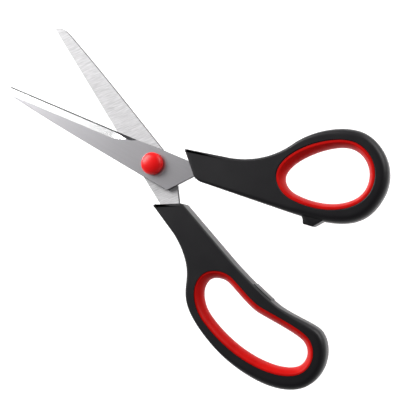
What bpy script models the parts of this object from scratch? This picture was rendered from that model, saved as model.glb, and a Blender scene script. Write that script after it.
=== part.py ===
"""Office scissors lying open: two ground steel blades, two moulded handles with soft rings, a capped rivet.

Metres, +Z up. The pivot axis is the Z axis, the blades point along +X, and the back of the rivet and of
both handles rests on z = 0. Each half is drawn in its own frame, with its tip on +X, and its empty then
turns it about the pivot by half of the opening.
"""

import math

import bmesh
import bpy
from mathutils import Matrix, Vector

MM = 0.001
GAP = 0.3 * MM  # clearance between pieces that touch, or that run on each other

# Layout
OPENING = math.radians(24.2)  # between the blades, as they lie
CLOSES_PAST = math.radians(1.7)  # how far the tips pass each other before the handles meet
HANDLE_THICKNESS = 11.0 * MM
MID_HEIGHT = HANDLE_THICKNESS / 2  # the plane where the two blades meet

# Blades
BLADE_LENGTH = 88.4 * MM  # pivot axis to tip
BLADE_THICKNESS = 2.0 * MM
HEEL = (11.0 * MM, -6.6 * MM)  # the end of the cutting edge nearest the pivot
EDGE_SIDE = 8.0 * MM  # pivot axis to the blade's edge side
SPINE_SIDE = 7.7 * MM  # pivot axis to its spine
THUMB_SHOULDER = (-12.4 * MM, 8.0 * MM)  # where the spine of each blade turns in towards the tang
FINGER_SHOULDER = (-7.5 * MM, 7.6 * MM)
NOSE_LENGTH = 9.5 * MM  # where the spine starts to turn in to the tip
NOSE_WIDTH = 4.4 * MM
SPINE_WAY = math.radians(-2.0)
SPINE_REACH = 25.0 * MM
NOSE_WAY = math.radians(-4.0)
NOSE_REACH = 3.5 * MM
TIP_BLUNTING = (1.0 * MM, 1.6 * MM)
TIP_WAY = math.radians(-55.0)
TIP_REACH = 3.0 * MM
GRIND_WIDTH = 3.8 * MM  # the bevel ground on the outer face
EDGE_LAND = 0.6 * MM  # what the bevel leaves of the thickness at the edge
GRIND_STOP = 14.0 * MM  # where the bevel starts, ahead of the pivot axis
GRIND_RUN_OUT = 10.0 * MM  # past it, and past the tip

# Tangs, inside the handles
TANG_LENGTH = 44.0 * MM  # pivot axis to the tang's end
TANG_WIDTH = 6.0 * MM
TANG_ROOT_DROP = 1.4 * MM  # how much wider than EDGE_SIDE the blade grows by the tang's root
TANG_ROOT_STEP = 5.0 * MM  # how far the root's edge side lies ahead of the waist
TANG_HOLE = 3.0 * MM
TANG_HOLE_PLACES = (30.0 * MM, 38.0 * MM)
THUMB_WAIST = (-21.4 * MM, -4.2 * MM)
THUMB_TANG_Y = -13.5 * MM  # middle of the tang's end
FINGER_WAIST_OF_TANG = (-23.4 * MM, -1.9 * MM)
FINGER_TANG_Y = -6.6 * MM

# Thumb handle, on the blade in front. A point is (x, y) in its half's frame, and where the outline curves
# it is followed by the outline's heading there and its reaches before and after
THUMB_NOSE = (-11.5 * MM, -13.6 * MM)
THUMB_CHIN = (-22.6 * MM, -3.7 * MM)
THUMB_CHIN_BACK = (-25.7 * MM, -3.2 * MM)
THUMB_THROAT = ((-31.2 * MM, -19.1 * MM), math.radians(194.5), 0.0, 12.0 * MM)
THUMB_SWEEP = ((-57.3 * MM, -38.7 * MM), math.radians(242), 11.2 * MM, 12.3 * MM)
THUMB_BOW_CENTRE = (-78.45 * MM, -34.0 * MM)
THUMB_BOW_LENGTH = 41.7 * MM
THUMB_BOW_WIDTH = 36.2 * MM
THUMB_BOW_WALL = 5.9 * MM

# Finger handle, on the blade behind
FINGER_NOSE = (-16.2 * MM, 11.5 * MM)
FINGER_CHIN = (-25.0 * MM, -0.6 * MM)
FINGER_THROAT = ((-34.5 * MM, 11.5 * MM), math.radians(175), 0.0, 7.3 * MM)
FINGER_SWEEP = ((-53.5 * MM, 18.1 * MM), math.radians(140.6), 6.2 * MM, 7.1 * MM)
FINGER_BELLY = ((-62.0 * MM, -3.2 * MM), math.radians(5), 8.0 * MM, 0.0)
FINGER_WAIST = ((-89.5 * MM, -7.5 * MM), math.radians(14.5), 8.5 * MM, 7.0 * MM)
FINGER_BOW_CENTRE = (-89.75 * MM, 6.85 * MM)
FINGER_BOW_LENGTH = 64.5 * MM
FINGER_BOW_WIDTH = 36.1 * MM
FINGER_BOW_WALL = 3.9 * MM
FINGER_BOW_INNER_WALL = 5.5 * MM
FINGER_BOW_END_WALL = 5.2 * MM

# The bows' shapes, and the handles' outlines round them: each knot's place, in half lengths and half widths
# from the centre with the outer side on +Y, its heading, and its reaches before and after in the same units
THUMB_BOW_SHAPE = (
    (-0.24, 1.0, 180, 0.48, 0.42),
    (-1.0, 0.11, 270, 0.49, 0.61),
    (0.45, -1.0, 0, 0.79, 0.30),
    (1.05, -0.43, 90, 0.34, 0.61),
)
THUMB_SHELL_SHAPE = (
    (-0.22, 0.995, 180, 0.33, 0.36),
    (-1.0, 0.11, 270, 0.525, 0.71),
    (0.35, -1.0, -9, 0.97, 0.0),
)
FINGER_BOW_SHAPE = (
    (0.44, 1.0, 180, 0.31, 0.78),
    (-1.0, -0.38, 270, 0.61, 0.34),
    (-0.65, -1.0, 0, 0.20, 0.15),
    (0.085, -0.50, 24, 0.28, 0.19),
    (0.74, -0.31, 17, 0.15, 0.10),
    (1.0, 0.26, 90, 0.30, 0.41),
)
FINGER_SHELL_SHAPE = (
    (0.31, 0.977, 180, 0.45, 0.78),
    (-1.012, -0.21, 270, 0.57, 0.44),
    (-0.59, -1.0, 0, 0.20, 0.12),
)

BORDER_ROUND = 1.8 * MM  # along the edges of both handles' faces
CORNER_SHARE = 0.4  # of it, on the upright edges at the front corners

# Stops: where the closed handles meet
STOP_PLACE = (-81.4 * MM, -7.7 * MM)
STOP_SLOPE = math.radians(11.0)
STOP_DEPTH = 5.0 * MM
THUMB_STOP_SHAPE = (  # along the face and back from it, counter-clockwise from the face's rear end
    (-2.0 * MM, GAP / 2),
    (2.6 * MM, GAP / 2),
    (3.3 * MM, 2.2 * MM),
    (4.3 * MM, 3.6 * MM),
    (6.2 * MM, STOP_DEPTH),
    (-6.9 * MM, STOP_DEPTH),
)
FINGER_STOP_SHAPE = (
    (-5.5 * MM, GAP / 2),
    (5.5 * MM, GAP / 2),
    (6.5 * MM, STOP_DEPTH),
    (-6.5 * MM, STOP_DEPTH),
)
STOP_HEIGHT = 8.0 * MM

# Soft rings in the bows
RING_WALL = 1.0 * MM  # at both rims
THUMB_RING_BULGE = 1.8 * MM  # how much thicker it is halfway
THUMB_RING_SWELL = 1.3 * MM  # more, where the web of the thumb rests
SWELL_HEADING = math.radians(154)  # from the web across the bow, in the half's frame
SWELL_START, SWELL_FULL = 0.20, 0.85  # in half bow lengths from its centre
FINGER_RING_BULGE = 2.6 * MM
RING_RECESS = 0.3 * MM  # rims below the handle's faces

# Rivet, washers and cap
SHANK_DIAMETER = 5.0 * MM
TAIL_DIAMETER = 7.6 * MM
TAIL_FLAT_DIAMETER = 5.2 * MM
BURR_DIAMETER = 9.6 * MM
BURR_THICKNESS = 0.8 * MM
SPRING_DIAMETER = 7.8 * MM
SPRING_THICKNESS = 0.5 * MM
HEAD_DIAMETER = 7.8 * MM
HEAD_THICKNESS = 1.4 * MM
HEAD_CHAMFER = 0.4 * MM
CAP_DIAMETER = 10.8 * MM
CAP_SIDE_HEIGHT = 1.6 * MM
CAP_DOME_HEIGHT = 2.6 * MM

CURVE_STEPS = 14
TURNED_STEPS = 40
RING_ARC_STEPS = 8
DOME_STEPS = 8

STEEL = ("stainless_steel", (0.62, 0.62, 0.64, 1.0), 0.32, 1.0)
DARK_STEEL = ("rivet_steel", (0.45, 0.45, 0.47, 1.0), 0.4, 1.0)
BLACK = ("black_plastic", (0.012, 0.011, 0.013, 1.0), 0.55, 0.0)
RED_SOFT = ("red_soft_rubber", (0.42, 0.012, 0.008, 1.0), 0.4, 0.0)
RED_CAP = ("red_gloss_plastic", (0.75, 0.012, 0.01, 1.0), 0.25, 0.0)


# Scene and materials


def clear_scene():
    for obj in list(bpy.data.objects):
        bpy.data.objects.remove(obj, do_unlink=True)


def add_collection(name):
    collection = bpy.data.collections.new(name)
    bpy.context.scene.collection.children.link(collection)
    return collection


def add_empty(name, angle):
    empty = bpy.data.objects.new(name, None)
    empty.rotation_euler.z = angle
    parts.objects.link(empty)
    return empty


def material(finish):
    name, colour, roughness, metallic = finish
    made = bpy.data.materials.get(name) or bpy.data.materials.new(name)
    made.use_nodes = True
    shader = made.node_tree.nodes["Principled BSDF"]
    shader.inputs["Base Color"].default_value = colour
    shader.inputs["Roughness"].default_value = roughness
    shader.inputs["Metallic"].default_value = metallic
    return made


def finish_part(obj, finish, half):
    obj.data.materials.clear()
    obj.data.materials.append(material(finish))
    obj.data.shade_smooth()
    obj.data.set_sharp_from_angle(angle=math.radians(35))
    obj.parent = half
    return obj


# Outlines: a knot is (x, y, heading, reach before it, reach after it), and a corner reaches nowhere


def corner(point):
    return (point[0], point[1], 0.0, 0.0, 0.0)


def knot(point, heading, before, after):
    return (point[0], point[1], heading, before, after)


def add_outline(name, knots, collection):
    """A closed flat Bezier curve through the knots."""
    curve = bpy.data.curves.new(name, "CURVE")
    curve.dimensions = "2D"
    curve.resolution_u = CURVE_STEPS
    spline = curve.splines.new("BEZIER")
    spline.bezier_points.add(len(knots) - 1)
    spline.use_cyclic_u = True
    for point, (x, y, heading, before, after) in zip(spline.bezier_points, knots):
        along = (math.cos(heading), math.sin(heading))
        point.co = (x, y, 0)
        point.handle_left_type = "FREE" if before else "VECTOR"
        point.handle_right_type = "FREE" if after else "VECTOR"
        point.handle_left = (x - before * along[0], y - before * along[1], 0)
        point.handle_right = (x + after * along[0], y + after * along[1], 0)
    obj = bpy.data.objects.new(name, curve)
    collection.objects.link(obj)
    return obj


def made_mesh(curve_object, collection):
    """The curve's shape as a mesh object of its name, with the curve's place in its mesh."""
    bpy.context.view_layer.update()
    name = curve_object.name
    evaluated = curve_object.evaluated_get(bpy.context.evaluated_depsgraph_get())
    mesh = bpy.data.meshes.new_from_object(evaluated)
    place = curve_object.matrix_world.copy()
    bpy.data.objects.remove(curve_object, do_unlink=True)
    work = bmesh.new()
    work.from_mesh(mesh)
    bmesh.ops.remove_doubles(work, verts=work.verts, dist=0.001 * MM)
    bmesh.ops.recalc_face_normals(work, faces=work.faces)
    work.to_mesh(mesh)
    work.free()
    mesh.transform(place)
    mesh.name = name
    obj = bpy.data.objects.new(name, mesh)
    collection.objects.link(obj)
    return obj


def add_plate(name, knots, bottom, top, collection, grow=0.0):
    """The outline, grown sideways, as a flat plate between two heights."""
    obj = add_outline(name, knots, collection)
    obj.data.fill_mode = "BOTH"
    obj.data.extrude = (top - bottom) / 2
    obj.data.offset = grow
    obj.location.z = (top + bottom) / 2
    return made_mesh(obj, collection)


def add_turned(name, profile, collection):
    """A solid turned about the pivot axis from its (radius, height) profile, which runs top to bottom."""
    mesh = bpy.data.meshes.new(name)
    mesh.from_pydata(
        [(radius, 0, height) for radius, height in profile],
        [(i, i + 1) for i in range(len(profile) - 1)],
        [],
    )
    obj = bpy.data.objects.new(name, mesh)
    collection.objects.link(obj)
    screw = obj.modifiers.new("turn", "SCREW")
    screw.steps = screw.render_steps = TURNED_STEPS
    screw.use_merge_vertices = True
    screw.merge_threshold = 0.01 * MM
    return obj


def add_cylinder(name, x, y, radius, bottom, top):
    mesh = bpy.data.meshes.new(name)
    work = bmesh.new()
    bmesh.ops.create_cone(
        work,
        cap_ends=True,
        segments=TURNED_STEPS // 2,
        radius1=radius,
        radius2=radius,
        depth=top - bottom,
    )
    work.to_mesh(mesh)
    work.free()
    obj = bpy.data.objects.new(name, mesh)
    obj.location = (x, y, (top + bottom) / 2)
    cutters.objects.link(obj)
    return obj


def add_boolean(obj, other, operation):
    other.hide_render = True
    other.display_type = "WIRE"
    cut = obj.modifiers.new(other.name, "BOOLEAN")
    cut.operation = operation
    cut.object = other


# Blades, drawn with the cutting edge on -Y about the plane where they meet; the rear one is turned over


def blade_knots(shoulder, waist, tang_y):
    """The blade's outline from the tip, along the edge, round the tang and back along the spine.

    The shoulder is where the spine turns in, the waist is where the tang's spine side enters the handle,
    and tang_y is the tang's middle at its end.
    """
    tang_root = (waist[0] + TANG_ROOT_STEP, -EDGE_SIDE - TANG_ROOT_DROP)
    return [
        corner((BLADE_LENGTH, 0.0)),
        corner(HEEL),
        corner((0.0, -EDGE_SIDE)),
        corner(tang_root),
        corner((-TANG_LENGTH, tang_y - TANG_WIDTH / 2)),
        corner((-TANG_LENGTH, tang_y + TANG_WIDTH / 2)),
        corner(waist),
        corner(shoulder),
        knot((0.0, SPINE_SIDE), SPINE_WAY, 0.0, SPINE_REACH),
        knot((BLADE_LENGTH - NOSE_LENGTH, NOSE_WIDTH), NOSE_WAY, SPINE_REACH, NOSE_REACH),
        knot((BLADE_LENGTH - TIP_BLUNTING[0], TIP_BLUNTING[1]), TIP_WAY, TIP_REACH, 0.0),
    ]


def tang_place(distance, waist, tang_y):
    """The middle of the tang at a distance behind the pivot axis."""
    root_y = (waist[1] - EDGE_SIDE - TANG_ROOT_DROP) / 2
    root_x = -waist[0]
    share = (distance - root_x) / (TANG_LENGTH - root_x)
    return root_y + share * (tang_y - root_y)


def set_about_mid_plane(obj, half, turned_over):
    obj.location.z = MID_HEIGHT
    obj.rotation_euler.x = math.pi if turned_over else 0.0
    obj.parent = half


def make_blade(name, half, turned_over, shoulder, waist, tang_y):
    bottom, top = GAP / 2, GAP / 2 + BLADE_THICKNESS
    blade = add_plate(name, blade_knots(shoulder, waist, tang_y), bottom, top, parts)
    holes = [(0.0, 0.0, SHANK_DIAMETER / 2 + GAP)]
    for distance in TANG_HOLE_PLACES:
        holes.append((-distance, tang_place(distance, waist, tang_y), TANG_HOLE / 2))
    for x, y, radius in holes:
        drill = add_cylinder(name + "_drill", x, y, radius, bottom - MM, top + MM)
        drill.parent = blade
        add_boolean(blade, drill, "DIFFERENCE")
    wheel = make_grinding_cutter(name + "_grind")
    wheel.parent = blade
    add_boolean(blade, wheel, "DIFFERENCE")
    set_about_mid_plane(blade, half, turned_over)
    return finish_part(blade, STEEL, half)


def make_grinding_cutter(name):
    """A prism whose underside is the ground bevel: level with the land at the edge, rising inwards."""
    reach = BLADE_LENGTH - GRIND_STOP + GRIND_RUN_OUT
    run_out = GRIND_RUN_OUT
    outline = [(0, -MM), (reach, -MM), (reach, 2 * GRIND_WIDTH), (run_out, 2 * GRIND_WIDTH)]
    cutter = add_plate(name, [corner(point) for point in outline], 0, 5 * MM, cutters)
    edge_angle = math.atan2(-HEEL[1], BLADE_LENGTH - HEEL[0])
    bevel_angle = math.atan2(BLADE_THICKNESS - EDGE_LAND, GRIND_WIDTH)
    cutter.data.transform(Matrix.Rotation(bevel_angle, 4, "X"))
    cutter.data.transform(Matrix.Rotation(edge_angle, 4, "Z"))
    start_y = -(BLADE_LENGTH - GRIND_STOP) * math.tan(edge_angle)
    cutter.location = (GRIND_STOP, start_y, GAP / 2 + EDGE_LAND)
    return cutter


# Handles


def bow_knots(shape, centre, side, length, width):
    """The knots of a bow: its shape, in half lengths and half widths, with its outer side on side * Y."""
    knots = []
    for u, v, heading, before, after in shape:
        sideways = abs(math.sin(math.radians(heading)))
        unit = width / 2 if sideways > 0.7 else length / 2
        place = (centre[0] + u * length / 2, centre[1] + side * v * width / 2)
        knots.append(knot(place, side * math.radians(heading), before * unit, after * unit))
    return knots


def thumb_outline():
    length = THUMB_BOW_LENGTH + 2 * THUMB_BOW_WALL
    width = THUMB_BOW_WIDTH + 2 * THUMB_BOW_WALL
    return [
        corner(THUMB_NOSE),
        knot(*THUMB_THROAT),
        knot(*THUMB_SWEEP),
        *bow_knots(THUMB_SHELL_SHAPE, THUMB_BOW_CENTRE, -1, length, width),
        corner(THUMB_CHIN_BACK),
        corner(THUMB_CHIN),
    ]


def finger_outline():
    length = FINGER_BOW_LENGTH + 2 * FINGER_BOW_END_WALL
    width = FINGER_BOW_WIDTH + FINGER_BOW_WALL + FINGER_BOW_INNER_WALL
    shift = (FINGER_BOW_WALL - FINGER_BOW_INNER_WALL) / 2
    centre = (FINGER_BOW_CENTRE[0], FINGER_BOW_CENTRE[1] + shift)
    return [
        corner(FINGER_NOSE),
        knot(*FINGER_THROAT),
        knot(*FINGER_SWEEP),
        *bow_knots(FINGER_SHELL_SHAPE, centre, 1, length, width),
        knot(*FINGER_WAIST),
        knot(*FINGER_BELLY),
        corner(FINGER_CHIN),
    ]


def round_border(handle):
    """Rounds the borders of both faces, and the upright corners less."""
    work = bmesh.new()
    work.from_mesh(handle.data)
    bmesh.ops.dissolve_limit(work, angle_limit=math.radians(0.5), verts=[], edges=work.edges)
    weight = work.edges.layers.float.new("bevel_weight_edge")
    for edge in work.edges:
        if edge.calc_face_angle(0.0) > math.radians(12):
            upright = abs(edge.verts[0].co.z - edge.verts[1].co.z) > MM
            edge[weight] = CORNER_SHARE if upright else 1.0
    work.to_mesh(handle.data)
    work.free()
    bevel = handle.modifiers.new("border", "BEVEL")
    bevel.limit_method = "WEIGHT"
    bevel.width = BORDER_ROUND
    bevel.segments = 3
    bevel.use_clamp_overlap = False


def add_stop(name, side, points, half):
    """A block behind the line where the closed handles meet, in its half's frame."""
    turn = -side * CLOSES_PAST / 2
    block = add_plate(
        name,
        [corner((x, side * y)) for x, y in points],
        MID_HEIGHT - STOP_HEIGHT / 2,
        MID_HEIGHT + STOP_HEIGHT / 2,
        cutters,
    )
    block.data.transform(Matrix.Rotation(STOP_SLOPE, 4, "Z"))
    block.data.transform(Matrix.Translation((STOP_PLACE[0], STOP_PLACE[1], 0)))
    block.data.transform(Matrix.Rotation(turn, 4, "Z"))
    block.parent = half
    return block


def make_handle(name, half, outline, bow, stop, waist, tang_y, turned_over):
    handle = add_plate(name, outline, 0, HANDLE_THICKNESS, parts)
    round_border(handle)
    add_boolean(handle, stop, "UNION")
    hole = add_plate(name + "_bow", bow, -MM, HANDLE_THICKNESS + MM, cutters)
    hole.parent = half
    add_boolean(handle, hole, "DIFFERENCE")
    bottom, top = -GAP / 2, BLADE_THICKNESS + GAP * 3 / 2
    knots = blade_knots(waist, waist, tang_y)
    pocket = add_plate(name + "_pocket", knots, bottom, top, cutters, GAP)
    set_about_mid_plane(pocket, half, turned_over)
    add_boolean(handle, pocket, "DIFFERENCE")
    for distance in TANG_HOLE_PLACES:
        y = tang_place(distance, waist, tang_y)
        radius = TANG_HOLE / 2 - GAP
        peg = add_cylinder(name + "_peg", -distance, y, radius, bottom - MM / 2, top + MM / 2)
        peg.parent = pocket
        add_boolean(handle, peg, "UNION")
    return finish_part(handle, BLACK, half)


def make_ring(name, half, bow, most_bulge):
    """A soft ring: the bow's outline swept with a section that bulges inwards."""
    half_height = HANDLE_THICKNESS / 2 - RING_RECESS
    section = [(GAP, -half_height), (GAP, half_height)]
    for step in range(RING_ARC_STEPS + 1):
        share = 1 - 2 * step / RING_ARC_STEPS
        bulge = most_bulge * (1 - share * share)
        section.append((GAP + RING_WALL + bulge, share * half_height))
    profile_curve = bpy.data.curves.new(name + "_section", "CURVE")
    profile_curve.dimensions = "2D"
    spline = profile_curve.splines.new("POLY")
    spline.points.add(len(section) - 1)
    spline.use_cyclic_u = True
    for point, (inwards, height) in zip(spline.points, section):
        point.co = (inwards, height, 0, 1)
    profile = bpy.data.objects.new(name + "_section", profile_curve)
    cutters.objects.link(profile)
    ring = add_outline(name, bow, parts)
    ring.data.bevel_mode = "OBJECT"
    ring.data.bevel_object = profile
    ring.location.z = MID_HEIGHT
    ring = made_mesh(ring, parts)
    bpy.data.objects.remove(profile, do_unlink=True)
    return finish_part(ring, RED_SOFT, half)


def swell_ring(ring):
    """Thickens the thumb's ring halfway up its wall, at the web of the thumb."""
    across = Vector((math.cos(SWELL_HEADING), math.sin(SWELL_HEADING)))
    half_height = HANDLE_THICKNESS / 2 - RING_RECESS
    for vert in ring.data.vertices:
        level = (vert.co.z - MID_HEIGHT) / half_height
        back = -(vert.co.xy - Vector(THUMB_BOW_CENTRE)).dot(across) / (THUMB_BOW_LENGTH / 2)
        share = min(max((back - SWELL_START) / (SWELL_FULL - SWELL_START), 0), 1)
        push = THUMB_RING_SWELL * (1 - level**2) * share**2 * (3 - 2 * share)
        vert.co += push * across.to_3d()


# Pivot


def make_pivot(half):
    blades_top = MID_HEIGHT + GAP / 2 + BLADE_THICKNESS
    blades_bottom = MID_HEIGHT - GAP / 2 - BLADE_THICKNESS
    shank = SHANK_DIAMETER / 2
    bore = shank + GAP

    burr_top = blades_bottom - GAP
    burr_bottom = burr_top - BURR_THICKNESS
    tail_top = burr_bottom - GAP
    spring_bottom = blades_top + GAP
    spring_top = spring_bottom + SPRING_THICKNESS
    head_bottom = spring_top + GAP
    head_top = head_bottom + HEAD_THICKNESS

    rivet = [
        (0, head_top),
        (HEAD_DIAMETER / 2 - HEAD_CHAMFER, head_top),
        (HEAD_DIAMETER / 2, head_top - HEAD_CHAMFER),
        (HEAD_DIAMETER / 2, head_bottom),
        (shank, head_bottom),
        (shank, tail_top),
        (TAIL_DIAMETER / 2, tail_top),
        (TAIL_FLAT_DIAMETER / 2, 0),
        (0, 0),
    ]
    finish_part(add_turned("pivot_rivet", rivet, parts), DARK_STEEL, half)
    add_washer("rear_rivet_washer", BURR_DIAMETER / 2, bore, burr_bottom, burr_top, half)
    add_washer("spring_washer", SPRING_DIAMETER / 2, bore, spring_bottom, spring_top, half)

    outer = CAP_DIAMETER / 2
    inner = HEAD_DIAMETER / 2 + GAP
    cap_bottom = blades_top + GAP
    dome_base = cap_bottom + CAP_SIDE_HEIGHT
    cap = []
    for step in range(DOME_STEPS + 1):
        angle = math.pi / 2 * step / DOME_STEPS
        cap.append((outer * math.sin(angle), dome_base + CAP_DOME_HEIGHT * math.cos(angle)))
    ceiling = head_top + GAP
    cap += [(outer, cap_bottom), (inner, cap_bottom), (inner, ceiling), (0, ceiling)]
    finish_part(add_turned("pivot_cap", cap, parts), RED_CAP, half)


def add_washer(name, radius, bore, bottom, top, half):
    section = [(radius, top), (radius, bottom), (bore, bottom), (bore, top), (radius, top)]
    finish_part(add_turned(name, section, parts), DARK_STEEL, half)


# The two halves


def make_front_half():
    half = add_empty("front_half", OPENING / 2)
    make_blade("front_blade", half, False, THUMB_SHOULDER, THUMB_WAIST, THUMB_TANG_Y)
    bow = bow_knots(THUMB_BOW_SHAPE, THUMB_BOW_CENTRE, -1, THUMB_BOW_LENGTH, THUMB_BOW_WIDTH)
    stop = add_stop("thumb_stop", -1, THUMB_STOP_SHAPE, half)
    make_handle(
        "thumb_handle", half, thumb_outline(), bow, stop, THUMB_WAIST, THUMB_TANG_Y, False
    )
    swell_ring(make_ring("thumb_ring", half, bow, THUMB_RING_BULGE))


def make_rear_half():
    half = add_empty("rear_half", -OPENING / 2)
    make_blade(
        "rear_blade", half, True, FINGER_SHOULDER, FINGER_WAIST_OF_TANG, FINGER_TANG_Y
    )
    bow = bow_knots(
        FINGER_BOW_SHAPE, FINGER_BOW_CENTRE, 1, FINGER_BOW_LENGTH, FINGER_BOW_WIDTH
    )
    stop = add_stop("finger_stop", 1, FINGER_STOP_SHAPE, half)
    make_handle(
        "finger_handle",
        half,
        finger_outline(),
        bow,
        stop,
        FINGER_WAIST_OF_TANG,
        FINGER_TANG_Y,
        True,
    )
    make_ring("finger_ring", half, bow, FINGER_RING_BULGE)
    make_pivot(half)


clear_scene()
parts = add_collection("office_scissors")
cutters = add_collection("cutters")
make_front_half()
make_rear_half()
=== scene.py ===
import math

import bmesh
import bpy
from mathutils import Matrix, Vector


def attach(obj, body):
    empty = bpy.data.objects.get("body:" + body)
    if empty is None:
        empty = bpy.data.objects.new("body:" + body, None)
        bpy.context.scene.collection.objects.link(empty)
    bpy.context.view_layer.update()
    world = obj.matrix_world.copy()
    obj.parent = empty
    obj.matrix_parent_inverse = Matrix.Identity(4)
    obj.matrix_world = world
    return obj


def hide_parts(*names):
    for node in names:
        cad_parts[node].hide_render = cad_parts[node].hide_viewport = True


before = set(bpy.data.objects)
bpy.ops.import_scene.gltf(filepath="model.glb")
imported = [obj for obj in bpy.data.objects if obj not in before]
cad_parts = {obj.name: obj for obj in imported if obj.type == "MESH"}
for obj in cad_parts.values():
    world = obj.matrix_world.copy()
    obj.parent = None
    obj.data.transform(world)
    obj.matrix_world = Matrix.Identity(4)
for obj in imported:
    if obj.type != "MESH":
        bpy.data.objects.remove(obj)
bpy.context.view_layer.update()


# The view. The scissors lie on their back with the blades pointing up and to the left, and are seen
# from almost straight above, a little from the handles' side.

picture_turn = math.radians(-139.345)
picture_right = Vector((math.cos(picture_turn), math.sin(picture_turn), 0))
picture_up = Vector((-math.sin(picture_turn), math.cos(picture_turn), 0))
look_at = Vector((-0.0350, -0.0011, 0.0055))
eye_distance = 0.45
towards_eye = (0.30 * picture_right - 0.07 * picture_up + Vector((0, 0, 1))).normalized()

bpy.ops.object.camera_add(location=look_at + eye_distance * towards_eye)
camera = bpy.context.object
side = picture_up.cross(towards_eye).normalized()
above = towards_eye.cross(side)
camera.rotation_mode = "QUATERNION"
turned = Matrix((side, above, towards_eye)).transposed()
camera.rotation_quaternion = turned.to_quaternion()
camera.data.sensor_width = 36
camera.data.lens = 81.96
camera.data.clip_start, camera.data.clip_end = 0.01, 20
bpy.context.scene.camera = camera


# The studio: a plain white floor, a pale surround that is darker overhead, two large soft lights
# beyond the blades' tips, and weak ones over the pivot, for the ground bevel and for the bows' borders.

bpy.context.scene.view_settings.view_transform = "Standard"

surround = bpy.data.worlds.new("pale_surround")
bpy.context.scene.world = surround
surround.use_nodes = True
nodes, links = surround.node_tree.nodes, surround.node_tree.links
direction = nodes.new("ShaderNodeTexCoord")
split = nodes.new("ShaderNodeSeparateXYZ")
fade = nodes.new("ShaderNodeValToRGB")
fade.color_ramp.elements[0].position, fade.color_ramp.elements[0].color = 0.0, (0.45, 0.45, 0.46, 1)
fade.color_ramp.elements[1].position, fade.color_ramp.elements[1].color = 0.93, (0.05, 0.05, 0.052, 1)
links.new(direction.outputs["Generated"], split.inputs["Vector"])
links.new(split.outputs["Z"], fade.inputs["Fac"])
links.new(fade.outputs["Color"], nodes["Background"].inputs["Color"])


def soft_light(name, place, aim, size, power):
    bpy.ops.object.light_add(type="AREA", location=place)
    light = bpy.context.object
    light.name = name
    light.data.shape = "RECTANGLE"
    light.data.size, light.data.size_y = size
    light.data.energy = power
    light.rotation_mode = "QUATERNION"
    light.rotation_quaternion = (Vector(aim) - Vector(place)).to_track_quat("-Z", "Y")


soft_light("tips_softbox", (0.76, -0.03, 0.64), (0.03, 0, 0), (0.62, 0.42), 4.3)
soft_light("low_key", (1.00, 0.15, 0.50), (0, 0, 0), (0.8, 0.6), 14)
soft_light("over_pivot", (0.30, 0.14, 0.95), (0.02, 0, 0), (0.5, 0.3), 0.14)
soft_light("bevel_glow", (0.53, -0.43, 0.73), (0.04, 0, 0), (0.45, 0.45), 0.2)
soft_light("ring_sheen", (-0.20, -0.88, 0.42), (-0.10, -0.05, 0), (0.7, 0.35), 4.5)

floor_drop = 0.06
bpy.ops.mesh.primitive_plane_add(size=8, location=(0, 0, -floor_drop))
floor = bpy.context.object
floor.name = "floor"
paper = bpy.data.materials.new("white_paper")
paper.use_nodes = True
shader = paper.node_tree.nodes["Principled BSDF"]
shader.inputs["Base Color"].default_value = (0.93, 0.93, 0.93, 1)
shader.inputs["Roughness"].default_value = 0.9
shader.inputs["Specular IOR Level"].default_value = 0.1
shader.inputs["Emission Color"].default_value = (1, 1, 1, 1)
shader.inputs["Emission Strength"].default_value = 0.4
floor.data.materials.append(paper)


# Blades. Each is one hardened stainless plate with its tang, ground on the outer side to a bevel
# that runs out in the curve of the wheel, and honed along the edge. The bevel's steel is painted
# lighter than the face's, a painted highlight on top of its real grind. The front and the rear
# blade are the same kind of plate; the rear one is turned over, and each tang is bent to its handle.

MM = 0.001
GAP = 0.3 * MM
MID_HEIGHT = 5.5 * MM
HALF_OPENING = math.radians(12.1)
blade_thickness = 2.0
edge_tip, edge_heel = (88.4, 0.0), (11.0, -6.6)
root_edge = -9.4  # where the plate's edge side turns in to the tang
tang_length, tang_width = 44.0, 6.0
rivet_bore, peg_bore, peg_distances = 2.8, 1.5, (30, 38)
edge_break = 0.16
front_waist, rear_waist = (-21.4, -4.2), (-23.4, -1.9)
front_tang_y, rear_tang_y = -13.5, -6.6


def draw_outline(name, knots, fineness):
    """Draws a closed flat outline. A knot is (x, y, heading, reach before, reach after), mm and degrees."""
    bpy.ops.object.select_all(action="DESELECT")
    bpy.ops.curve.primitive_bezier_circle_add()
    drawn = bpy.context.object
    drawn.name = name
    drawn.data.dimensions = "2D"
    drawn.data.fill_mode = "NONE"
    drawn.data.resolution_u = fineness
    points = drawn.data.splines[0].bezier_points
    points.add(len(knots) - len(points))
    for point, (x, y, heading, before, after) in zip(points, knots):
        along = Vector((math.cos(math.radians(heading)), math.sin(math.radians(heading)), 0)) * MM
        point.handle_left_type = "FREE" if before else "VECTOR"
        point.handle_right_type = "FREE" if after else "VECTOR"
        point.co = Vector((x, y, 0)) * MM
        point.handle_left = point.co - before * along
        point.handle_right = point.co + after * along
    return drawn


def open_mesh(piece, mode="VERT"):
    """Opens the piece in edit mode with nothing selected."""
    bpy.ops.object.select_all(action="DESELECT")
    piece.select_set(True)
    bpy.context.view_layer.objects.active = piece
    bpy.ops.object.mode_set(mode="EDIT")
    bpy.ops.mesh.select_mode(type=mode)
    bpy.ops.mesh.select_all(action="DESELECT")
    return bmesh.from_edit_mesh(piece.data)


def choose(piece, found):
    """Selects what was found, and shows it to the operators."""
    for part in found:
        part.select_set(True)
    bmesh.update_edit_mesh(piece.data)


def close_mesh():
    bpy.ops.object.mode_set(mode="OBJECT")


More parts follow.
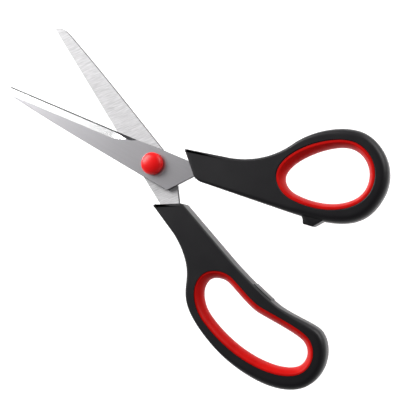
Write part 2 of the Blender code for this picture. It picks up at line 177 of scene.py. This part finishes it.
def cut_plate(drawn, bottom, top):
    """Makes the outline a solid plate between two heights, in mm."""
    bpy.context.view_layer.objects.active = drawn
    bpy.ops.object.convert(target="MESH")
    plate = bpy.context.object
    open_mesh(plate)
    bpy.ops.mesh.select_all(action="SELECT")
    bpy.ops.mesh.remove_doubles(threshold=1e-6)
    bpy.ops.mesh.edge_face_add()
    bpy.ops.transform.translate(value=(0, 0, bottom * MM))
    bpy.ops.mesh.extrude_region_move(TRANSFORM_OT_translate={"value": (0, 0, (top - bottom) * MM)})
    bpy.ops.mesh.select_all(action="SELECT")
    bpy.ops.mesh.normals_make_consistent(inside=False)
    close_mesh()
    return plate


def combine(piece, tool, operation):
    """Cuts the tool out of the piece, or joins it on, and takes the tool away."""
    bpy.ops.object.select_all(action="DESELECT")
    bpy.context.view_layer.objects.active = piece
    piece.select_set(True)
    work = piece.modifiers.new("work", "BOOLEAN")
    work.operation = operation
    work.object = tool
    bpy.ops.object.modifier_apply(modifier="work")
    bpy.data.objects.remove(tool, do_unlink=True)


def set_in_place(piece, place, turn):
    """Moves and turns the piece, and puts its place in its mesh."""
    bpy.ops.object.select_all(action="DESELECT")
    bpy.context.view_layer.objects.active = piece
    piece.select_set(True)
    piece.location = place
    piece.rotation_mode = "XYZ"
    piece.rotation_euler = turn
    bpy.ops.object.transform_apply(location=True, rotation=True, scale=True)


def drill(piece, x, y, radius, bottom, top):
    middle = Vector((x, y, (top + bottom) / 2)) * MM
    bpy.ops.mesh.primitive_cylinder_add(
        vertices=48, radius=radius * MM, depth=(top - bottom) * MM, location=middle
    )
    combine(piece, bpy.context.object, "DIFFERENCE")


def grind(blade, start, rise, width, straight_to, wheel):
    """Grinds the outer side along the edge: from a height over the inner face, rising inwards."""
    bpy.ops.mesh.primitive_cube_add(size=1)
    stone = bpy.context.object
    past, stone_width, outside = 10, 14, 2
    length, height = edge_tip[0] - straight_to + wheel + past, wheel + past
    stone.scale = Vector((length, stone_width, height)) * MM
    stone.location = Vector((past - length / 2, stone_width / 2 - outside, height / 2)) * MM
    bpy.ops.object.transform_apply(location=True, rotation=True, scale=True)
    mesh = open_mesh(stone, "EDGE")
    heel_end = min(vert.co.x for vert in mesh.verts)
    choose(
        stone,
        [e for e in mesh.edges if all(v.co.z < 1e-6 and v.co.x < heel_end + 1e-6 for v in e.verts)],
    )
    bpy.ops.mesh.bevel(offset=wheel * MM, segments=120)
    close_mesh()
    set_in_place(stone, (0, 0, 0), (math.atan2(rise, width), 0, 0))
    edge_angle = math.atan2(edge_tip[1] - edge_heel[1], edge_tip[0] - edge_heel[0])
    set_in_place(stone, (edge_tip[0] * MM, edge_tip[1] * MM, start * MM), (0, 0, edge_angle))
    combine(blade, stone, "DIFFERENCE")


def tang_middle(distance, waist, tang_y):
    root_y = (waist[1] + root_edge) / 2
    return root_y + (distance + waist[0]) / (tang_length + waist[0]) * (tang_y - root_y)


def make_blade(name, shoulder, waist, tang_y):
    bottom, top = GAP / MM / 2, GAP / MM / 2 + blade_thickness
    knots = [
        (*edge_tip, 0, 0, 0),
        (*edge_heel, 0, 0, 0),
        (0.0, -8.0, 0, 0, 0),
        (waist[0] + 5.0, root_edge, 0, 0, 0),
        (-tang_length, tang_y - tang_width / 2, 0, 0, 0),
        (-tang_length, tang_y + tang_width / 2, 0, 0, 0),
        (*waist, 0, 0, 0),
        (*shoulder, 0, 0, 0),
        (0.0, 7.7, -2, 0, 25),
        (78.9, 4.4, -4, 25, 3.5),
        (87.4, 1.6, -55, 3, 0),
    ]
    blade = cut_plate(draw_outline(name, knots, 32), bottom, top)
    drill(blade, 0, 0, rivet_bore, bottom - 1, top + 1)
    for distance in peg_distances:
        drill(blade, -distance, tang_middle(distance, waist, tang_y), peg_bore, bottom - 1, top + 1)
    grind(blade, bottom + 0.6, 1.4, 3.8, 27.0, 52.0)
    grind(blade, bottom + 0.08, 1.2, 1.0, 18.0, 12.0)

    mesh = open_mesh(blade, "EDGE")
    edge_way = (Vector(edge_tip) - Vector(edge_heel)).normalized()
    square = []
    for edge in mesh.edges:
        middle = (edge.verts[0].co + edge.verts[1].co) / 2 / MM
        off_edge = abs((Vector(middle.xy) - Vector(edge_heel)).cross(edge_way))
        level = abs(edge.verts[0].co.z - edge.verts[1].co.z) < 1e-6
        in_hole = edge.calc_length() < 0.5 * MM and middle.x < 4
        if level and edge.calc_face_angle(0) > 1.2 and not in_hole and (off_edge > 1 or middle.x < 8):
            square.append(edge)
    choose(blade, square)
    bpy.ops.mesh.bevel(offset=edge_break * MM, segments=2)
    mesh = bmesh.from_edit_mesh(blade.data)
    for face in mesh.faces:
        up = face.normal.z
        if up > 0.995:
            face.material_index = 0
        elif up < -0.995:
            face.material_index = 1
        elif up > 0.85 and face.normal.y < -0.1:
            face.material_index = 2
        else:
            face.material_index = 3
    close_mesh()
    bpy.ops.object.shade_smooth_by_angle(angle=math.radians(20))
    return blade


def steel(name, colour, roughness, metallic, turn, grain, shade, depth):
    """Steel with streaks at a turn from X. The grain is how many there are per metre along and across."""
    made = bpy.data.materials.new(name)
    made.use_nodes = True
    nodes, links = made.node_tree.nodes, made.node_tree.links
    shader = nodes["Principled BSDF"]
    shader.inputs["Metallic"].default_value = metallic
    place = nodes.new("ShaderNodeTexCoord")
    lay = nodes.new("ShaderNodeMapping")
    lay.vector_type = "TEXTURE"
    lay.inputs["Rotation"].default_value = (0, 0, turn)
    lay.inputs["Scale"].default_value = (1 / grain[0], 1 / grain[1], 1 / grain[1])
    streaks = nodes.new("ShaderNodeTexNoise")
    streaks.inputs["Scale"].default_value = 1
    streaks.inputs["Detail"].default_value = 5
    streaks.inputs["Roughness"].default_value = 0.65
    tint = nodes.new("ShaderNodeValToRGB")
    tint.color_ramp.elements[0].position, tint.color_ramp.elements[1].position = 0.3, 0.7
    tint.color_ramp.elements[0].color = (*(c * (1 - shade) for c in colour), 1)
    tint.color_ramp.elements[1].color = (*colour, 1)
    polish = nodes.new("ShaderNodeMapRange")
    polish.inputs["To Min"].default_value = roughness + 0.05
    polish.inputs["To Max"].default_value = roughness - 0.05
    relief = nodes.new("ShaderNodeBump")
    relief.inputs["Strength"].default_value = 0.6
    relief.inputs["Distance"].default_value = depth * MM
    links.new(place.outputs["Object"], lay.inputs["Vector"])
    links.new(lay.outputs["Vector"], streaks.inputs["Vector"])
    links.new(streaks.outputs["Fac"], tint.inputs["Fac"])
    links.new(streaks.outputs["Fac"], polish.inputs["Value"])
    links.new(streaks.outputs["Fac"], relief.inputs["Height"])
    links.new(tint.outputs["Color"], shader.inputs["Base Color"])
    links.new(polish.outputs["Result"], shader.inputs["Roughness"])
    links.new(relief.outputs["Normal"], shader.inputs["Normal"])
    return made


front_blade = make_blade("front_blade_ground", (-12.4, 8.0), front_waist, front_tang_y)
rear_blade = make_blade("rear_blade_ground", (-7.5, 7.6), rear_waist, rear_tang_y)
set_in_place(front_blade, (0, 0, MID_HEIGHT), (0, 0, HALF_OPENING))
set_in_place(rear_blade, (0, 0, MID_HEIGHT), (math.pi, 0, -HALF_OPENING))
for blade, turn, body, node in (
    (front_blade, HALF_OPENING, "front_half", "front_blade"),
    (rear_blade, -HALF_OPENING, "rear_half", "rear_blade"),
):
    # Four faces of one steel; the ground bevel carries a painted highlight and the cut edges a painted
    # shade.
    for face_finish_and_painted_light, colour, roughness, metallic, lay, grain, shade, depth in (
        ("_rolled_face", (0.56, 0.55, 0.57), 0.34, 1.0, 0, (60, 1500), 0.06, 0.002),
        ("_inner_face", (0.74, 0.73, 0.74), 0.5, 0.05, 71, (200, 2100), 0.36, 0.015),
        # ground bevel: a real fine grind, with its colour painted lighter than the face's steel, a painted
        # highlight
        ("_ground_bevel_painted_highlight", (0.90, 0.90, 0.90), 0.25, 1.0, 72, (250, 3500), 0.06, 0.001),
        # cut edges: colour painted near black, a painted shade along the plate's side walls and spine
        ("_cut_edges_painted_shade", (0.09, 0.09, 0.095), 0.45, 1.0, 0, (300, 1200), 0.15, 0.004),
    ):
        way = turn + math.radians(lay)
        blade.data.materials.append(
            steel(node + face_finish_and_painted_light, colour, roughness, metallic, way, grain, shade, depth)
        )
    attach(blade, body)
    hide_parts(node)


# Handles. Each is one injection-moulded shell of black plastic, flat on both faces, with a border
# that is rounded little at the front and more round the outside of the bow, a stop where the closed
# handles meet, and a socket for its tang.

handle_half = 5.5
end_round, bow_round = 0.9, 0.35
stop_place, stop_line_angle, stop_lead = (-81.4, -7.7), math.radians(11.0), math.radians(0.85)
stop_round = 0.35


def corner(point):
    return (*point, 0, 0, 0)


def bow_knots(shape, centre, side, length, width):
    """A bow's knots, in half lengths and half widths round its centre. Its outer side is on side * Y."""
    knots = []
    for u, v, heading, before, after in shape:
        unit = (width if abs(math.sin(math.radians(heading))) > 0.7 else length) / 2
        place = (centre[0] + u * length / 2, centre[1] + side * v * width / 2)
        knots.append((*place, side * heading, before * unit, after * unit))
    return knots


def sweep_border(drawn, inwards, width_at, corner_round):
    """Sweeps the border's quarter round along the outline, as wide at each point as width_at says."""
    bpy.context.view_layer.objects.active = drawn
    bpy.ops.object.convert(target="MESH")
    outline = bpy.context.object
    mesh = open_mesh(outline)
    bmesh.ops.remove_doubles(mesh, verts=mesh.verts, dist=1e-6)
    sharp = []
    for vert in mesh.verts:
        ways = [(edge.other_vert(vert).co - vert.co).normalized() for edge in vert.link_edges]
        if ways[0].angle(-ways[1]) > math.radians(15):
            sharp.append(vert)
    if sharp:
        choose(outline, sharp)
        bpy.ops.mesh.bevel(affect="VERTICES", offset=corner_round * MM, segments=8)
    close_mesh()
    bpy.ops.object.convert(target="CURVE")
    path = bpy.context.object
    path.data.dimensions = "2D"
    path.data.fill_mode = "NONE"
    points = path.data.splines[0].points
    area = 0
    for i, point in enumerate(points):
        area += points[i - 1].co.x * point.co.y - point.co.x * points[i - 1].co.y
        point.radius = width_at(point.co.x / MM, point.co.y / MM)
    into = (-1 if area > 0 else 1) * inwards
    bpy.ops.curve.primitive_nurbs_path_add()
    section = bpy.context.object
    section.data.dimensions = "2D"
    section.data.splines.clear()
    arc = section.data.splines.new("POLY")
    arc.points.add(9)
    for step, point in enumerate(arc.points):
        angle = math.radians(90 * step / 8)
        depth, height = 1 - math.cos(angle), math.sin(angle) - 1
        if step == 9:
            depth, height = 1.3, 0
        point.co = (into * depth * MM, height * MM, 0, 1)
    path.data.bevel_mode = "OBJECT"
    path.data.bevel_object = section
    bpy.ops.object.select_all(action="DESELECT")
    path.select_set(True)
    bpy.context.view_layer.objects.active = path
    bpy.ops.object.convert(target="MESH")
    border = bpy.context.object
    bpy.data.objects.remove(section, do_unlink=True)
    mesh = open_mesh(border, "EDGE")
    bpy.ops.mesh.select_all(action="SELECT")
    bpy.ops.mesh.remove_doubles(threshold=1e-6)
    bpy.ops.transform.translate(value=(0, 0, handle_half * MM))
    bpy.ops.mesh.select_all(action="DESELECT")
    mesh = bmesh.from_edit_mesh(border.data)
    low = [
        edge
        for edge in mesh.edges
        if edge.is_boundary and max(v.co.z for v in edge.verts) < (handle_half - 0.1) * MM
    ]
    choose(border, low)
    bpy.ops.mesh.extrude_edges_move()
    bpy.ops.transform.resize(value=(1, 1, 0), center_override=(0, 0, 0))
    close_mesh()
    return border


def mould_handle(name, outline, bow, width_at, corner_round):
    """Fills the face between the outer border and the bow's, and mirrors it to the other face."""
    outer = sweep_border(draw_outline(name, outline, 24), 1, width_at, corner_round)
    inner = sweep_border(draw_outline(name + "_bow", bow, 36), -1, lambda x, y: bow_round, 1)
    bpy.ops.object.select_all(action="DESELECT")
    inner.select_set(True)
    outer.select_set(True)
    bpy.context.view_layer.objects.active = outer
    bpy.ops.object.join()
    mesh = open_mesh(outer, "EDGE")
    rims = [
        edge
        for edge in mesh.edges
        if edge.is_boundary and min(v.co.z for v in edge.verts) > (handle_half - 0.01) * MM
    ]
    choose(outer, rims)
    bpy.ops.mesh.fill()
    close_mesh()
    mirror = outer.modifiers.new("other_face", "MIRROR")
    mirror.use_axis = (False, False, True)
    mirror.merge_threshold = 1e-5
    bpy.ops.object.modifier_apply(modifier="other_face")
    open_mesh(outer)
    bpy.ops.mesh.select_all(action="SELECT")
    bpy.ops.mesh.normals_make_consistent(inside=False)
    close_mesh()
    return outer


def smooth_step(value, low, high):
    share = min(max((value - low) / (high - low), 0), 1)
    return share * share * (3 - 2 * share)


thumb_centre, thumb_length, thumb_width, thumb_wall = (-78.45, -34.0), 41.7, 36.2, 5.9
thumb_bow_shape = (
    (-0.24, 1.0, 180, 0.48, 0.42),
    (-1.0, 0.11, 270, 0.49, 0.61),
    (0.45, -1.0, 0, 0.79, 0.30),
    (1.05, -0.43, 90, 0.34, 0.61),
)
thumb_shell_shape = (
    (-0.22, 0.995, 180, 0.33, 0.36),
    (-1.0, 0.11, 270, 0.525, 0.71),
    (0.35, -1.0, -9, 0.97, 0.0),
)
thumb_bow = bow_knots(thumb_bow_shape, thumb_centre, -1, thumb_length, thumb_width)
thumb_shell = bow_knots(
    thumb_shell_shape, thumb_centre, -1, thumb_length + 2 * thumb_wall, thumb_width + 2 * thumb_wall
)
thumb_outline = [
    corner((-11.5, -13.6)),
    (-31.2, -19.1, 194.5, 0, 12),
    (-57.3, -38.7, 242, 11.2, 12.3),
    *thumb_shell,
    corner((-25.7, -3.2)),
    corner((-22.6, -3.7)),
]


def thumb_border(x, y):
    return 1.1 + 2.3 * smooth_step(-x, 50, 84)


thumb_handle = mould_handle("thumb_handle_moulded", thumb_outline, thumb_bow, thumb_border, end_round)

finger_centre, finger_length, finger_width = (-89.75, 6.85), 64.5, 36.1
finger_wall, finger_inner_wall, finger_end_wall = 3.9, 5.5, 5.2
finger_bow_shape = (
    (0.44, 1.0, 180, 0.31, 0.78),
    (-1.0, -0.38, 270, 0.61, 0.34),
    (-0.65, -1.0, 0, 0.20, 0.15),
    (0.085, -0.50, 24, 0.28, 0.19),
    (0.74, -0.31, 17, 0.15, 0.10),
    (1.0, 0.26, 90, 0.30, 0.41),
)
finger_shell_shape = (
    (0.31, 0.977, 180, 0.45, 0.78),
    (-1.012, -0.21, 270, 0.57, 0.44),
    (-0.59, -1.0, 0, 0.20, 0.12),
)
finger_bow = bow_knots(finger_bow_shape, finger_centre, 1, finger_length, finger_width)
finger_shell = bow_knots(
    finger_shell_shape,
    (finger_centre[0], finger_centre[1] + (finger_wall - finger_inner_wall) / 2),
    1,
    finger_length + 2 * finger_end_wall,
    finger_width + finger_wall + finger_inner_wall,
)
finger_outline = [
    corner((-16.2, 11.5)),
    (-34.5, 11.5, 175, 0, 7.3),
    (-53.5, 18.1, 140.6, 6.2, 7.1),
    *finger_shell,
    (-89.5, -7.5, 14.5, 8.5, 7),
    (-62.0, -3.2, 5, 8, 0),
    corner((-25.0, -0.6)),
]


def finger_border(x, y):
    return 1.1 + 1.9 * smooth_step(-x, 88, 112)


finger_handle = mould_handle("finger_handle_moulded", finger_outline, finger_bow, finger_border, end_round)


def mould_stop(handle, side, points):
    """A block that the closed handles meet on, behind the line between them."""
    block = cut_plate(draw_outline("stop", [corner((x, side * y)) for x, y in points], 1), -4, 4)
    mesh = open_mesh(block, "EDGE")
    choose(block, mesh.edges)
    bpy.ops.mesh.bevel(offset=stop_round * MM, segments=3)
    close_mesh()
    set_in_place(block, Vector((*stop_place, 0)) * MM, (0, 0, stop_line_angle))
    set_in_place(block, (0, 0, 0), (0, 0, -side * stop_lead))
    combine(handle, block, "UNION")


def cut_socket(handle, waist, tang_y, over):
    """The socket that the tang sits in, a clearance wider than the tang, on its own blade's level."""
    room = GAP / MM
    knots = [
        corner((waist[0] + 12, root_edge - 12)),
        corner((waist[0] + 5.0, root_edge - room)),
        corner((-tang_length - room, tang_y - tang_width / 2 - room)),
        corner((-tang_length - room, tang_y + tang_width / 2 + room)),
        corner((waist[0], waist[1] + room)),
        corner((waist[0] + 12, waist[1] + 12)),
    ]
    socket = cut_plate(draw_outline("socket", knots, 1), -room / 2, room * 1.5 + blade_thickness)
    set_in_place(socket, (0, 0, 0), (math.pi if over else 0, 0, 0))
    combine(handle, socket, "DIFFERENCE")


mould_stop(
    thumb_handle, -1, [(-2.0, 0.15), (2.6, 0.15), (3.3, 2.2), (4.3, 3.6), (6.2, 5.0), (-6.9, 5.0)]
)
mould_stop(finger_handle, 1, [(-5.5, 0.15), (5.5, 0.15), (6.5, 4.5), (-6.5, 4.5)])
cut_socket(thumb_handle, front_waist, front_tang_y, False)
cut_socket(finger_handle, rear_waist, rear_tang_y, True)
set_in_place(thumb_handle, (0, 0, MID_HEIGHT), (0, 0, HALF_OPENING))
set_in_place(finger_handle, (0, 0, MID_HEIGHT), (0, 0, -HALF_OPENING))
gate_mark = Vector((-87.1, -69.05, 10.8)) * MM
bpy.ops.mesh.primitive_uv_sphere_add(segments=16, ring_count=8, radius=0.35 * MM, location=gate_mark)
combine(thumb_handle, bpy.context.object, "DIFFERENCE")

black = bpy.data.materials.new("matte_black_plastic")
black.use_nodes = True
nodes, links = black.node_tree.nodes, black.node_tree.links
shader = nodes["Principled BSDF"]
shader.inputs["Specular IOR Level"].default_value = 0.45
place = nodes.new("ShaderNodeTexCoord")
mould_grain = nodes.new("ShaderNodeTexNoise")
mould_grain.inputs["Scale"].default_value = 5200
mould_grain.inputs["Detail"].default_value = 3
handling = nodes.new("ShaderNodeTexNoise")
handling.inputs["Scale"].default_value = 90
handling.inputs["Detail"].default_value = 6
handling.inputs["Roughness"].default_value = 0.6
tint = nodes.new("ShaderNodeValToRGB")
tint.color_ramp.elements[0].position, tint.color_ramp.elements[1].position = 0.3, 0.75
tint.color_ramp.elements[0].color = (0.0030, 0.0026, 0.0036, 1)
tint.color_ramp.elements[1].color = (0.0060, 0.0052, 0.0070, 1)
polish = nodes.new("ShaderNodeMapRange")
polish.inputs["From Min"].default_value, polish.inputs["From Max"].default_value = 0.3, 0.7
polish.inputs["To Min"].default_value, polish.inputs["To Max"].default_value = 0.46, 0.36
relief = nodes.new("ShaderNodeBump")
relief.inputs["Strength"].default_value = 0.35
relief.inputs["Distance"].default_value = 0.03 * MM
links.new(place.outputs["Object"], mould_grain.inputs["Vector"])
links.new(place.outputs["Object"], handling.inputs["Vector"])
links.new(handling.outputs["Fac"], tint.inputs["Fac"])
links.new(handling.outputs["Fac"], polish.inputs["Value"])
links.new(mould_grain.outputs["Fac"], relief.inputs["Height"])
links.new(tint.outputs["Color"], shader.inputs["Base Color"])
links.new(polish.outputs["Result"], shader.inputs["Roughness"])
links.new(relief.outputs["Normal"], shader.inputs["Normal"])
for handle, body, node in (
    (thumb_handle, "front_half", "thumb_handle"),
    (finger_handle, "rear_half", "finger_handle"),
):
    bpy.ops.object.select_all(action="DESELECT")
    bpy.context.view_layer.objects.active = handle
    handle.select_set(True)
    bpy.ops.object.shade_smooth_by_angle(angle=math.radians(32))
    handle.data.materials.clear()
    handle.data.materials.append(black)
    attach(handle, body)
    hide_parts(node)


# Soft rings. A red rubber ring is moulded into each bow: narrow at its rims, just below the black
# faces, and swelling inwards between them, so that it is soft under the thumb and the fingers.

ring_half = handle_half - GAP / MM
ring_wall, ring_seam = 1.3, 0.03
swell_way = math.radians(154)


def mould_ring(name, bow, bulge, swell, turn):
    """The bow's outline swept with a bulging section. The swell adds more at the bow's front end."""
    bpy.ops.curve.primitive_nurbs_path_add()
    section = bpy.context.object
    section.data.dimensions = "2D"
    section.data.splines.clear()
    outline = [(ring_seam, -ring_half), (ring_seam, ring_half)]
    for step in range(25):
        share = 1 - 2 * step / 24
        outline.append((ring_wall + bulge * (1 - share * share), share * ring_half))
    loop = section.data.splines.new("POLY")
    loop.use_cyclic_u = True
    loop.points.add(len(outline) - 1)
    for point, (inwards, height) in zip(loop.points, outline):
        point.co = (inwards * MM, height * MM, 0, 1)
    ring = draw_outline(name, bow, 40)
    ring.data.bevel_mode = "OBJECT"
    ring.data.bevel_object = section
    bpy.ops.object.convert(target="MESH")
    ring = bpy.context.object
    bpy.data.objects.remove(section, do_unlink=True)
    mesh = open_mesh(ring, "EDGE")
    bpy.ops.mesh.select_all(action="SELECT")
    bpy.ops.mesh.remove_doubles(threshold=1e-6)
    bpy.ops.mesh.normals_make_consistent(inside=False)
    bpy.ops.mesh.select_all(action="DESELECT")
    mesh = bmesh.from_edit_mesh(ring.data)
    across = Vector((math.cos(swell_way), math.sin(swell_way), 0))
    for vert in mesh.verts if swell else ():
        level = vert.co.z / (ring_half * MM)
        back = -(vert.co / MM - Vector((*thumb_centre, 0))).dot(across) / (thumb_length / 2)
        vert.co += swell * MM * (1 - level * level) * smooth_step(back, 0.20, 0.85) * across
    choose(ring, [edge for edge in mesh.edges if edge.calc_face_angle(0) > math.radians(40)])
    bpy.ops.mesh.bevel(offset=0.25 * MM, segments=4)
    close_mesh()
    bpy.ops.object.shade_smooth_by_angle(angle=math.radians(50))
    set_in_place(ring, (0, 0, MID_HEIGHT), (0, 0, turn))
    return ring


thumb_ring = mould_ring("thumb_ring_soft", thumb_bow, 1.8, 1.3, HALF_OPENING)
finger_ring = mould_ring("finger_ring_soft", finger_bow, 2.6, 0, -HALF_OPENING)

red = bpy.data.materials.new("soft_red_rubber")
red.use_nodes = True
nodes, links = red.node_tree.nodes, red.node_tree.links
shader = nodes["Principled BSDF"]
shader.inputs["Specular IOR Level"].default_value = 0.1
place = nodes.new("ShaderNodeTexCoord")
blotches = nodes.new("ShaderNodeTexNoise")
blotches.inputs["Scale"].default_value = 160
blotches.inputs["Detail"].default_value = 5
tint = nodes.new("ShaderNodeValToRGB")
tint.color_ramp.elements[0].position, tint.color_ramp.elements[1].position = 0.3, 0.7
tint.color_ramp.elements[0].color = (0.46, 0.0030, 0.0025, 1)
tint.color_ramp.elements[1].color = (0.56, 0.0060, 0.0045, 1)
polish = nodes.new("ShaderNodeMapRange")
polish.inputs["To Min"].default_value, polish.inputs["To Max"].default_value = 0.42, 0.32
skin = nodes.new("ShaderNodeTexNoise")
skin.inputs["Scale"].default_value = 4200
relief = nodes.new("ShaderNodeBump")
relief.inputs["Strength"].default_value = 0.25
relief.inputs["Distance"].default_value = 0.02 * MM
links.new(place.outputs["Object"], blotches.inputs["Vector"])
links.new(place.outputs["Object"], skin.inputs["Vector"])
links.new(blotches.outputs["Fac"], tint.inputs["Fac"])
links.new(blotches.outputs["Fac"], polish.inputs["Value"])
links.new(skin.outputs["Fac"], relief.inputs["Height"])
links.new(tint.outputs["Color"], shader.inputs["Base Color"])
links.new(polish.outputs["Result"], shader.inputs["Roughness"])
links.new(relief.outputs["Normal"], shader.inputs["Normal"])
for ring, body, node in (
    (thumb_ring, "front_half", "thumb_ring"),
    (finger_ring, "rear_half", "finger_ring"),
):
    ring.data.materials.clear()
    ring.data.materials.append(red)
    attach(ring, body)
    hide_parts(node)


# Pivot. A steel rivet passes through both blades, upset over a plain washer at the back. A thin
# spring washer lies under its head, and a red plastic cap snaps over both.

cap_radius, cap_side_top, cap_dome = 5.4, 9.55, 2.6

def turn_piece(name, steps, hole=0.0):
    """Builds a turned piece from the bottom up: each step is (radius, height), in mm."""
    radius, height = steps[0]
    bpy.ops.object.select_all(action="DESELECT")
    bpy.ops.mesh.primitive_circle_add(
        vertices=96, radius=radius * MM, fill_type="NGON", location=(0, 0, height * MM)
    )
    piece = bpy.context.object
    piece.name = name
    bpy.ops.object.transform_apply(location=True, rotation=True, scale=True)
    open_mesh(piece, "FACE")
    bpy.ops.mesh.select_all(action="SELECT")
    for wider, higher in steps[1:]:
        bpy.ops.mesh.extrude_region_move(
            TRANSFORM_OT_translate={"value": (0, 0, (higher - height) * MM)}
        )
        grown = wider / radius
        bpy.ops.transform.resize(value=(grown, grown, 1), center_override=(0, 0, 0))
        radius, height = wider, higher
    bpy.ops.mesh.select_all(action="SELECT")
    bpy.ops.mesh.remove_doubles(threshold=1e-7)
    bpy.ops.mesh.normals_make_consistent(inside=False)
    close_mesh()
    if hole:
        drill(piece, 0, 0, hole, steps[0][1] - 1, steps[-1][1] + 1)
    return piece


tail = [(2.2, 0.0), (2.6, 0.05), (3.2, 0.55), (3.6, 1.15), (3.8, 1.75), (3.8, 1.95)]
shank = [(2.5, 1.95), (2.5, 8.75)]
head = [(3.9, 8.75), (3.9, 9.75), (3.78, 10.03), (3.5, 10.15)]
rivet = turn_piece("pivot_rivet_turned", tail + shank + head)
rear_washer = turn_piece(
    "rear_washer_turned", [(4.65, 2.25), (4.8, 2.4), (4.8, 2.9), (4.65, 3.05)], rivet_bore
)
spring_washer = turn_piece(
    "spring_washer_turned", [(3.82, 7.95), (3.9, 8.03), (3.9, 8.37), (3.82, 8.45)], rivet_bore
)
cap_steps = [(5.25, 7.95), (cap_radius, 8.1), (cap_radius, cap_side_top)]
for step in range(1, 25):
    angle = math.radians(90 * step / 25)
    cap_steps.append((cap_radius * math.cos(angle), cap_side_top + cap_dome * math.sin(angle)))
cap = turn_piece("pivot_cap_domed", cap_steps)
bpy.ops.mesh.primitive_cylinder_add(vertices=96, radius=4.2 * MM, depth=4 * MM, location=(0, 0, 8.45 * MM))
combine(cap, bpy.context.object, "DIFFERENCE")

bare_steel = steel("turned_rivet_steel", (0.50, 0.50, 0.51), 0.34, 1.0, 0.0, (900, 900), 0.12, 0.003)
for piece in (rivet, rear_washer, spring_washer, cap):
    bpy.ops.object.select_all(action="DESELECT")
    bpy.context.view_layer.objects.active = piece
    piece.select_set(True)
    bpy.ops.object.shade_smooth_by_angle(angle=math.radians(30))
    piece.data.materials.clear()
for piece, node in (
    (rivet, "pivot_rivet"),
    (rear_washer, "rear_rivet_washer"),
    (spring_washer, "spring_washer"),
):
    piece.data.materials.append(bare_steel)
    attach(piece, "rear_half")
    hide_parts(node)

gloss_red = bpy.data.materials.new("gloss_red_plastic")
gloss_red.use_nodes = True
nodes, links = gloss_red.node_tree.nodes, gloss_red.node_tree.links
shader = nodes["Principled BSDF"]
shader.inputs["Specular IOR Level"].default_value = 0.35
shader.inputs["Subsurface Weight"].default_value = 0.1
shader.inputs["Subsurface Radius"].default_value = (0.002, 0.0005, 0.0003)
place = nodes.new("ShaderNodeTexCoord")
blotches = nodes.new("ShaderNodeTexNoise")
blotches.inputs["Scale"].default_value = 300
blotches.inputs["Detail"].default_value = 4
tint = nodes.new("ShaderNodeValToRGB")
tint.color_ramp.elements[0].color = (0.76, 0.004, 0.005, 1)
tint.color_ramp.elements[1].color = (0.86, 0.006, 0.007, 1)
polish = nodes.new("ShaderNodeMapRange")
polish.inputs["To Min"].default_value, polish.inputs["To Max"].default_value = 0.38, 0.30
links.new(place.outputs["Object"], blotches.inputs["Vector"])
links.new(blotches.outputs["Fac"], tint.inputs["Fac"])
links.new(blotches.outputs["Fac"], polish.inputs["Value"])
links.new(tint.outputs["Color"], shader.inputs["Base Color"])
links.new(polish.outputs["Result"], shader.inputs["Roughness"])
cap.data.materials.append(gloss_red)
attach(cap, "rear_half")
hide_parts("pivot_cap")
